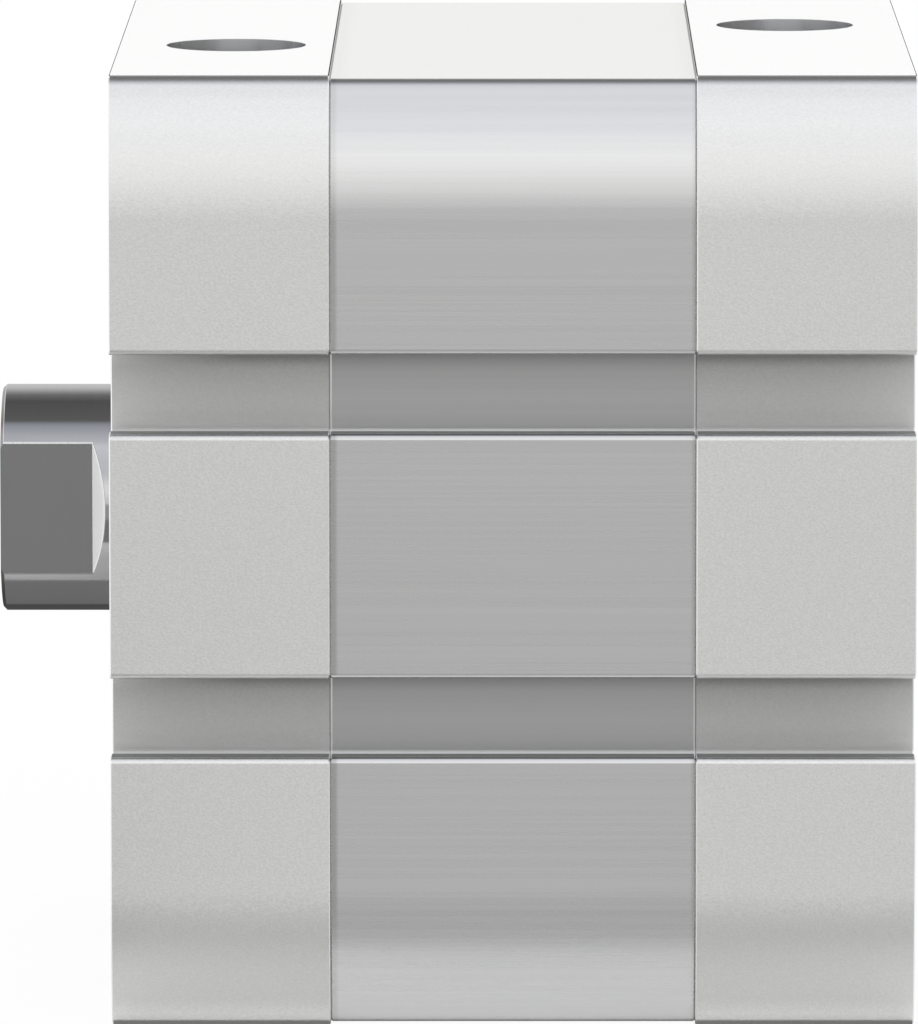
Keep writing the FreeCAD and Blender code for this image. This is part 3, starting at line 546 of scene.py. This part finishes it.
def ground_rod():
    made = Finish("rod_ground", specular_tint=ROD_EDGE)
    rings = made.noise(RINGS_PER_MM, stretch=RING_STRETCH)
    cuts = made.noise(CUTS_PER_MM, stretch=CUT_STRETCH)
    across = made.radius(made.y, made.z)
    milled = across < ROD_RADIUS - ROUND_SKIN
    past_flat = abs(made.y) > FLAT_HALF + FLAT_SKIN
    off_run_out = abs((abs(made.y) - FLAT_HALF) * RUN_OUT_SLOPE - (made.x - FLAT_END))
    run_out = milled * past_flat * (off_run_out < RUN_OUT_SKIN)
    # Painted highlight: the run-out face and the upper edge of each flat are pale and hardly metal.
    rim = milled * (1 - past_flat) * (across > ROD_RADIUS - RIM_DEPTH) * (made.z > 0)
    pale = run_out.either(rim * 0.7)
    ground = made.colour(0.5 + rings * 0.6, ROD_DARK, ROD_LIGHT)
    made.set("Base Color", made.colour(pale, made.colour(milled, ground, MILLED), RUN_OUT))
    made.set("Metallic", 1 - pale * 0.85)
    made.set("Roughness", 0.10 + rings * 0.04 + milled * (0.10 + cuts * 0.05) + pale * 0.12)
    made.relief(rings * (1 - milled) + cuts * milled, RING_DEPTH)
    return made.material


finishes["piston_rod"] = ground_rod()
print("rod finish ready")

# %% [markdown]
# ## Plated screws and turned metal
# The screws are steel with a thin zinc plating, which clouds slightly and keeps a faint blue. The
# piston halves, the bush and the cut threads still show the lathe: rings that run round the X axis.
# One function makes every turned metal, and takes its colour and how coarse the rings are.

# %% Screws and turned pieces
ZINC_DARK = (0.50, 0.51, 0.53)
ZINC_LIGHT = (0.66, 0.665, 0.67)


def plated_steel():
    made = Finish("screw_zinc_plated", metallic=1.0)
    cloud = made.noise(0.9, detail=4.0)
    speck = made.noise(7.0, detail=1.0)
    made.set("Base Color", made.colour(0.5 + cloud * 0.8 + speck * 0.2, ZINC_DARK, ZINC_LIGHT))
    made.set("Roughness", 0.30 + cloud * 0.15)
    made.relief(speck, 0.002)
    return made.material


def turned_metal(name, dark, light, rings_per_mm, roughness):
    made = Finish(name, metallic=1.0)
    across = made.radius(made.y, made.z)
    spread = made.add("ShaderNodeCombineXYZ", inputs={"X": made.x, "Y": across})
    rings = made.add("ShaderNodeTexNoise", {"noise_dimensions": "3D"}, {
        "Vector": spread, "Scale": rings_per_mm, "Detail": 2.0}) - 0.5
    stain = made.noise(0.4, detail=3.0)
    made.set("Base Color", made.colour(0.5 + rings * 0.7 + stain * 0.3, dark, light))
    made.set("Roughness", roughness + rings * 0.12)
    made.relief(rings, 0.003)
    return made.material


screw_finish = plated_steel()
finishes["front_collar_screws"] = screw_finish
finishes["rear_collar_screws"] = screw_finish
finishes["piston_screw"] = screw_finish
piston_finish = turned_metal("piston_turned", (0.58, 0.58, 0.58), (0.74, 0.74, 0.735), 6.0, 0.30)
finishes["piston_front_half"] = piston_finish
finishes["piston_rear_half"] = piston_finish
finishes["rod_bearing_bush"] = turned_metal("bush_bronze", (0.38, 0.25, 0.12), (0.56, 0.40, 0.21), 5.0, 0.38)
thread_finish = turned_metal("thread_cut", (0.50, 0.50, 0.50), (0.64, 0.64, 0.64), 8.0, 0.28)
print("turned finishes ready")

# %% [markdown]
# ## Rubber, polyurethane and plastic rings
# Seals, bumpers and the guide ring are moulded. Up close a moulded ring isn't one flat black: it has
# a fine skin, a little bloom and a soft sheen. One function makes all of them from two colours, a
# roughness and the size of the skin's grain.

# %% Moulded rings


def moulded(name, dark, light, roughness, grain_per_mm):
    made = Finish(name, metallic=0.0)
    skin = made.noise(grain_per_mm, detail=3.0)
    bloom = made.noise(0.5, detail=3.0)
    made.set("Base Color", made.colour(0.5 + skin * 0.5 + bloom * 0.8, dark, light))
    made.set("Roughness", roughness + skin * 0.15 + bloom * 0.10)
    made.relief(skin, 0.006)
    return made.material


rubber = moulded("rubber_matte", (0.012, 0.012, 0.013), (0.035, 0.035, 0.036), 0.62, 4.0)
seal = moulded("seal_polyurethane", (0.020, 0.022, 0.026), (0.050, 0.053, 0.060), 0.42, 5.0)
for node in ("front_cap_oring", "rear_cap_oring", "piston_oring"):
    finishes[node] = rubber
for node in ("front_piston_seal", "rear_piston_seal"):
    finishes[node] = seal
finishes["rod_wiper_seal"] = moulded("wiper_rubber", (0.016, 0.017, 0.019), (0.042, 0.043, 0.046), 0.48, 5.0)
bumper = moulded("bumper_polyurethane", (0.06, 0.06, 0.065), (0.13, 0.13, 0.135), 0.50, 4.0)
finishes["front_bumper"] = bumper
finishes["rear_bumper"] = bumper
finishes["magnet_ring"] = moulded("magnet_ferrite", (0.045, 0.043, 0.042), (0.11, 0.105, 0.10), 0.55, 8.0)
finishes["guide_ring"] = moulded("guide_plastic", (0.55, 0.52, 0.45), (0.72, 0.69, 0.61), 0.45, 3.0)
print("moulded finishes ready")

# %% [markdown]
# ## Dress the solids
# The CAD objects stay as they are: only their material slots change. Every node has to find its
# finish in the table above, so a forgotten one stops the script at once instead of staying grey.

# %% Assign the finishes
for name, node in frame["nodes"].items():
    node.data.materials.clear()
    node.data.materials.append(finishes[name])
print("dressed", len(frame["nodes"]), "nodes")

# %% [markdown]
# ## Cut threads
# Ports, rod and collar screws all have female threads, which the solids leave as plain holes. A
# thread is one ridge wound into the hole: a small trapezoid swept along a helix. Building it point by
# point is the surest way, because a Screw modifier can't fade the ridge out at its two ends, and a
# real thread always runs out. The foot of the ridge sinks a little into the wall, so no gap shows.

# %% Thread maker
STEPS_PER_TURN = 48
FADE_TURNS = 0.5
FOOT_SINK = 0.02
FOOT_HALF, CREST_HALF = 0.42, 0.10
SHARP_ANGLE = math.radians(35)


def thread_ridge(mesh, start, axis, bore, pitch, depth, length):
    """Ridge of a right-handed female thread in a hole; sizes in millimetres, start at the mouth."""
    along = Vector(axis).normalized()
    across = along.orthogonal().normalized()
    beside = along.cross(across)
    steps = int(length / pitch * STEPS_PER_TURN)
    rows = []
    for step in range(steps + 1):
        turn = step / STEPS_PER_TURN
        turns_left = (steps - step) / STEPS_PER_TURN
        fade = min(1.0, turn / FADE_TURNS, turns_left / FADE_TURNS)
        angle = 2 * math.pi * turn
        outward = across * math.cos(angle) + beside * math.sin(angle)
        centre = Vector(start) + along * (turn * pitch)
        foot = bore + FOOT_SINK
        crest = bore - depth * fade
        section = ((-FOOT_HALF, foot), (-CREST_HALF, crest), (CREST_HALF, crest), (FOOT_HALF, foot))
        points = [centre + along * (shift * pitch) + outward * reach for shift, reach in section]
        rows.append([mesh.verts.new(point * MM) for point in points])
    for row, following in zip(rows, rows[1:]):
        for i in range(len(row)):
            j = (i + 1) % len(row)
            mesh.faces.new((row[i], row[j], following[j], following[i]))
    mesh.faces.new(rows[0][::-1])
    mesh.faces.new(rows[-1])


def thread_piece(name, holes, body, slot, **sizes):
    """Piece with the same thread in each of several holes."""
    mesh = bmesh.new()
    for start, axis in holes:
        thread_ridge(mesh, start, axis, **sizes)
    bmesh.ops.recalc_face_normals(mesh, faces=mesh.faces)
    data = bpy.data.meshes.new(name)
    mesh.to_mesh(data)
    mesh.free()
    data.shade_smooth()
    data.set_sharp_from_angle(angle=SHARP_ANGLE)
    data.materials.append(thread_finish)
    piece = bpy.data.objects.new(name, data)
    bpy.context.scene.collection.objects.link(piece)
    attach(piece, body)
    print(name, len(data.polygons), "faces")


print("thread maker ready,", STEPS_PER_TURN, "steps a turn")

# %% [markdown]
# The ports have a pipe thread of 28 turns to the inch that starts a little below the mouth, the rod
# a coarse M10 thread, and the collar screws a coarse M8 one behind their hexagon sockets. Each kind
# is one piece that rides on the body its holes belong to.

# %% Threads
INCH = 25.4
PORT_LEAD_IN, ROD_LEAD_IN, SCREW_LEAD_IN = 1.6, 1.2, 0.9
PORT_THREAD = {"bore": PORT_RADIUS, "pitch": INCH / 28, "depth": 0.58, "length": 5.8}
ROD_THREAD = {"bore": ROD_HOLE_RADIUS, "pitch": 1.5, "depth": 0.81, "length": 14.0}
SCREW_THREAD = {"bore": SCREW_RADIUS, "pitch": 1.25, "depth": 0.67, "length": 16.0}
for name, port in (("front_port_thread", FRONT_PORT), ("rear_port_thread", REAR_PORT)):
    mouth = (port[0], port[1], HALF - PORT_LEAD_IN)
    thread_piece(name, [(mouth, (0, 0, -1))], "housing", "cap", **PORT_THREAD)
tip = (ROD_TIP + ROD_LEAD_IN, 0, 0)
thread_piece("rod_tip_thread", [(tip, (1, 0, 0))], "rod_assembly", "rod", **ROD_THREAD)
corners = [(y * SCREW_OFFSET, z * SCREW_OFFSET) for y in (-1, 1) for z in (-1, 1)]
for name, bolts, way in (("front_screw_threads", front_bolts, 1), ("rear_screw_threads", rear_bolts, -1)):
    start = in_mm(bolts["pos_m"])[0] + way * SCREW_LEAD_IN
    holes = [((start, y, z), (way, 0, 0)) for y, z in corners]
    thread_piece(name, holes, "housing", "screw", **SCREW_THREAD)

# %% [markdown]
# ## Camera
# The photo was taken from straight in front of the side, a little above, with a long lens: the two
# seams are upright and almost parallel, and the top shows as a narrow strip. The lens and the
# distance follow from how much that strip narrows towards the back.

# %% Camera
CAMERA_PLACE = (0.02751, -0.86094, 0.10926)
CAMERA_TILT = 82.6967
LENS = 431.13
SENSOR = 36.0
SHIFT = -0.0528
camera = bpy.data.cameras.new("photo_camera")
camera.lens = LENS
camera.sensor_width = SENSOR
camera.shift_x = SHIFT
eye = bpy.data.objects.new("photo_camera", camera)
eye.location = CAMERA_PLACE
eye.rotation_euler = (math.radians(CAMERA_TILT), 0, 0)
bpy.context.scene.collection.objects.link(eye)
bpy.context.scene.camera = eye
bpy.context.scene.view_settings.view_transform = "Standard"
print("camera", tuple(eye.location))

# %% [markdown]
# ## White surroundings
# The background is white paper. More light would make it white too, but would burn out the metal. So
# the world shows plain white to the camera and in reflections, and a little less to everything else.

# %% World
SKY = 0.8


def light_path(nodes, *rays):
    """One for any of the named kinds of ray, such as Is Camera Ray, and zero for the others."""
    path = nodes.tree.nodes.new("ShaderNodeLightPath")
    picked = Value(nodes, path.outputs[rays[0]])
    for ray in rays[1:]:
        picked = picked.either(Value(nodes, path.outputs[ray]))
    return picked


world = bpy.data.worlds.new("white_studio")
world.use_nodes = True
bpy.context.scene.world = world
sky = Nodes(world.node_tree)
backdrop = world.node_tree.nodes["Background"]
backdrop.inputs["Color"].default_value = (1, 1, 1, 1)
direct = light_path(sky, "Is Camera Ray", "Is Glossy Ray", "Is Transmission Ray")
sky.plug(backdrop.inputs["Strength"], SKY + direct * (1 - SKY))
print("sky lights with", SKY)

# %% [markdown]
# ## Paper floor
# The floor is lit paper that also glows, for the camera and for mirrors only. The glow is weak beside
# the part, so that the part keeps its shadow and its lower edges meet a dark line, and grows with the
# distance from it. More sheets of paper follow, so one small class starts them all.

# %% Floor
FLOOR_SIZE = 6.0
FLOOR = -HALF * MM
PAPER_WHITE = 0.92
CAMERA_GLOW = 0.95
MIRROR_GLOW = 0.9
GLOW_START, GLOW_FULL = 0.004, 0.12


class Paper(Nodes):
    """A material of the studio, with one shader for its surface."""

    def __init__(self, name):
        self.material = bpy.data.materials.new(name)
        self.material.use_nodes = True
        super().__init__(self.material.node_tree)

    def glow(self, colour):
        return self.add("ShaderNodeEmission", inputs={"Color": colour, "Strength": 1.0})

    def cover(self, shader):
        self.plug(self.tree.nodes["Material Output"].inputs["Surface"], shader)
        return self.material


def floor_paper():
    paper = Paper("floor_paper")
    place = paper.add("ShaderNodeTexCoord", output="Object")
    x, y = (paper.add("ShaderNodeSeparateXYZ", inputs={0: place}, output=axis) for axis in "XY")
    middle = LENGTH * MM / 2
    beside = (abs(x - middle) - middle).either(0.0)
    before = (abs(y) - HALF * MM).either(0.0)
    far = ((beside * beside + before * before) ** 0.5).rise(GLOW_START, GLOW_FULL)
    to_camera = light_path(paper, "Is Camera Ray") * (CAMERA_GLOW + far * (1 - CAMERA_GLOW))
    to_mirror = light_path(paper, "Is Glossy Ray", "Is Transmission Ray") * far * MIRROR_GLOW
    white = (PAPER_WHITE, PAPER_WHITE, PAPER_WHITE, 1)
    return paper.cover(paper.add("ShaderNodeMixShader", inputs={
        0: to_camera.either(to_mirror),
        1: paper.add("ShaderNodeBsdfDiffuse", inputs={"Color": white}),
        2: paper.glow((1, 1, 1, 1))}))


def stage_mesh(name, points, faces, material):
    """Piece of the studio from points and faces."""
    data = bpy.data.meshes.new(name)
    data.from_pydata(points, [], faces)
    data.materials.append(material)
    piece = bpy.data.objects.new(name, data)
    bpy.context.scene.collection.objects.link(piece)
    return piece


def flat_sheet(name, corners, height, material):
    """Level sheet of the stage with four corners."""
    return stage_mesh(name, [(x, y, height) for x, y in corners], [(0, 1, 2, 3)], material)


floor_corners = [(x * FLOOR_SIZE, y * FLOOR_SIZE) for x, y in ((-1, -1), (1, -1), (1, 1), (-1, 1))]
flat_sheet("floor", floor_corners, FLOOR, floor_paper())
print("floor at", FLOOR)

# %% [markdown]
# ## A canopy to reflect
# Polished metal has no look of its own, it shows the room. A photographer therefore bends a large
# paper round the set, bright where the metal should be bright and dark where it should be dark. Here
# it is a half tube round the X axis, far away so that flat faces see one even tone. Its tone goes by
# the angle: bright low in front, cooler and greyer higher up, a dark strip overhead that draws the
# dark lines along the upper edges and on the rod, and bright again behind. Only reflections see it.

# %% Canopy
CANOPY_RADIUS = 2.0
CANOPY_REACH = 2.5
CANOPY_LOW, CANOPY_HIGH = 3, 177
CANOPY_STEPS = 58
NEUTRAL = (1.0, 1.0, 0.99)
COOL = (0.988, 1.0, 1.05)
COLD = (0.967, 1.0, 1.11)
CANOPY_TONES = (
    (3, 1.0, NEUTRAL), (8, 1.14, NEUTRAL), (12, 1.27, NEUTRAL), (18, 1.27, NEUTRAL), (25, 1.05, COOL),
    (32, 0.92, COOL), (45, 0.95, COOL), (60, 1.05, COOL), (67, 0.85, COOL), (80, 0.60, COLD),
    (84, 0.55, COLD), (88, 0.40, COLD), (91, 0.18, NEUTRAL), (122, 0.145, NEUTRAL), (135, 0.28, NEUTRAL),
    (142, 0.51, NEUTRAL), (147, 0.74, NEUTRAL), (150.5, 0.86, NEUTRAL), (154, 1.0, NEUTRAL),
    (158, 1.08, NEUTRAL), (162, 1.14, NEUTRAL), (168, 1.06, NEUTRAL), (174, 0.95, NEUTRAL),
    (177, 1.0, NEUTRAL),
)


def reflections_only(piece):
    piece.visible_camera = False
    piece.visible_diffuse = False
    piece.visible_transmission = False
    piece.visible_volume_scatter = False
    piece.visible_shadow = False


def graded_paper():
    paper = Paper("canopy_paper")
    place = paper.add("ShaderNodeTexCoord", output="Object")
    y, z = (paper.add("ShaderNodeSeparateXYZ", inputs={0: place}, output=axis) for axis in "YZ")
    half_turns = z.maths("ARCTAN2", z, 0 - y) / math.pi
    stops = [(angle / 180, (*(tone * part for part in tint), 1)) for angle, tone, tint in CANOPY_TONES]
    return paper.cover(paper.glow(paper.add("ShaderNodeValToRGB", {"stops": stops}, {0: half_turns})))


canopy_points = []
for step in range(CANOPY_STEPS + 1):
    angle = math.radians(CANOPY_LOW + (CANOPY_HIGH - CANOPY_LOW) * step / CANOPY_STEPS)
    y, z = -CANOPY_RADIUS * math.cos(angle), CANOPY_RADIUS * math.sin(angle)
    canopy_points += [(-CANOPY_REACH, y, z), (CANOPY_REACH, y, z)]
canopy_faces = [(2 * i, 2 * i + 1, 2 * i + 3, 2 * i + 2) for i in range(CANOPY_STEPS)]
reflections_only(stage_mesh("canopy", canopy_points, canopy_faces, graded_paper()))
print("canopy of", CANOPY_STEPS, "strips")

# %% [markdown]
# ## Flags on the floor
# The flat sides look at the floor in front of them and behind them, and so do the rod's flats. Dark
# sheets lie there, wider with the distance, so that the sides turn grey and stand out from the white
# paper. Each comes in two parts, because a slightly darker one close by shades the foot of a side. More
# lie round the foot of the rod, where they draw the dark band on its lower half, and thin ones under
# the long lower edges, where light hardly reaches. The broken edges at the ends look sideways: a white
# card to the left makes a fine bright line of those that face it, a grey one dulls the others.

# %% Floor flags
FLAG_HEIGHT = FLOOR + 0.0002
UNDER_HEIGHT = FLOOR + 0.00002
RAISED_HEIGHT = FLOOR + 0.0003
FLAG_NEAR, FLAG_MIDDLE, FLAG_FAR = 0.0428, 0.075, 4.0
FLAG_MARGIN = 0.05
FLAG_SPREAD = 1.0
END_MARGIN, END_FAR = 0.065, 2.0
END_SPREAD = 0.9
UNDER_INNER, UNDER_CAP, UNDER_BARREL = 0.0285, 0.0307, 0.0302
ROD_LEFT, ROD_RIGHT = -0.06, -0.001
ROD_NEAR, ROD_FRONT, ROD_MIDDLE, ROD_FAR = -0.12, -0.0075, 0.022, 0.6
NEAR_TONE, SIDE_TONE = 0.465, 0.492
LEFT_TONE, RIGHT_TONE = 1.0, 0.6
ROD_TONE, ROD_BACK_TONE, ROD_FAR_TONE = 0.28, 0.14, 0.13
UNDER_TONE = 0.2


def flag_paper(name, tone):
    paper = Paper(name)
    return paper.cover(paper.glow((tone, tone, tone, 1)))


def side_flag(side, near, far):
    """Corners of a flag before one side, between two distances; side is -1 in front and 1 behind."""
    corners = []
    for distance in (near, far):
        reach = FLAG_MARGIN + FLAG_SPREAD * (distance - FLAG_NEAR)
        corners += [(-reach, side * distance), (LENGTH * MM + reach, side * distance)]
    return [corners[0], corners[1], corners[3], corners[2]]


def end_flag(near, far):
    """Corners of the flag beyond one end, between two places on the X axis."""
    reach = FLAG_NEAR + END_SPREAD * abs(far - near)
    return [(near, -FLAG_NEAR), (near, FLAG_NEAR), (far, reach), (far, -reach)]


def strip(low, high):
    """Corners of a rectangle."""
    return [low, (high[0], low[1]), high, (low[0], high[1])]


def rod_flag(near, far):
    """Corners of a flag below the rod, between two places on the Y axis."""
    return strip((ROD_LEFT, near), (ROD_RIGHT, far))


end_near = LENGTH * MM + END_MARGIN
floor_flags = {
    "front_near_floor_flag": (side_flag(-1, FLAG_NEAR, FLAG_MIDDLE), FLAG_HEIGHT, NEAR_TONE),
    "back_near_floor_flag": (side_flag(1, FLAG_NEAR, FLAG_MIDDLE), FLAG_HEIGHT, NEAR_TONE),
    "front_floor_flag": (side_flag(-1, FLAG_MIDDLE, FLAG_FAR), FLAG_HEIGHT, SIDE_TONE),
    "back_floor_flag": (side_flag(1, FLAG_MIDDLE, FLAG_FAR), FLAG_HEIGHT, SIDE_TONE),
    "left_floor_card": (end_flag(-END_MARGIN, -END_FAR), FLAG_HEIGHT, LEFT_TONE),
    "right_floor_flag": (end_flag(end_near, END_FAR), FLAG_HEIGHT, RIGHT_TONE),
    "rod_floor_flag": (rod_flag(ROD_FRONT, ROD_MIDDLE), FLAG_HEIGHT, ROD_TONE),
    "rod_back_floor_flag": (rod_flag(ROD_MIDDLE, FLAG_NEAR), FLAG_HEIGHT, ROD_BACK_TONE),
    "rod_near_floor_flag": (rod_flag(ROD_NEAR, -FLAG_NEAR), RAISED_HEIGHT, ROD_TONE),
    "rod_far_floor_flag": (rod_flag(FLAG_NEAR, ROD_FAR), RAISED_HEIGHT, ROD_FAR_TONE),
}
under_places = {
    "bearing_cap": (0, SEAMS[0], UNDER_CAP),
    "barrel": (*SEAMS, UNDER_BARREL),
    "end_cap": (SEAMS[1], LENGTH, UNDER_CAP),
}
for piece, (start, stop, outer) in under_places.items():
    for side, way in (("front", -1), ("back", 1)):
        corners = strip((start * MM, way * UNDER_INNER), (stop * MM, way * outer))
        floor_flags[f"{piece}_{side}_under_flag"] = (corners, UNDER_HEIGHT, UNDER_TONE)
for name, (corners, height, tone) in floor_flags.items():
    reflections_only(flat_sheet(name, corners, height, flag_paper(name, tone)))
print("floor flags", sorted(floor_flags))

# %% [markdown]
# ## Soft boxes
# The rubber and the paper need light from somewhere. Two long soft boxes, in front and behind, give
# it, and they are hidden from reflections, where the canopy does their work. A lamp's radiance is its
# power divided by four times its area here, so the power follows from how bright the box should be.

# %% Soft boxes
BOX_DISTANCE = 1.2
BOX_LENGTH, BOX_WIDTH = 1.2, 0.6
BOX_RADIANCE = 1.0
BOX_HEIGHT = math.radians(40)
for name, side in (("front_soft_box", -1), ("back_soft_box", 1)):
    lamp = bpy.data.lights.new(name, "AREA")
    lamp.shape = "RECTANGLE"
    lamp.size = BOX_LENGTH
    lamp.size_y = BOX_WIDTH
    lamp.energy = BOX_RADIANCE * 4 * lamp.size * lamp.size_y
    box = bpy.data.objects.new(name, lamp)
    reach, rise = math.cos(BOX_HEIGHT) * BOX_DISTANCE, math.sin(BOX_HEIGHT) * BOX_DISTANCE
    box.location = (LENGTH * MM / 2, side * reach, rise)
    box.rotation_euler = (-side * (math.pi / 2 - BOX_HEIGHT), 0, 0)
    box.visible_camera = False
    box.visible_glossy = False
    bpy.context.scene.collection.objects.link(box)
    print(name, "power", round(lamp.energy, 3))
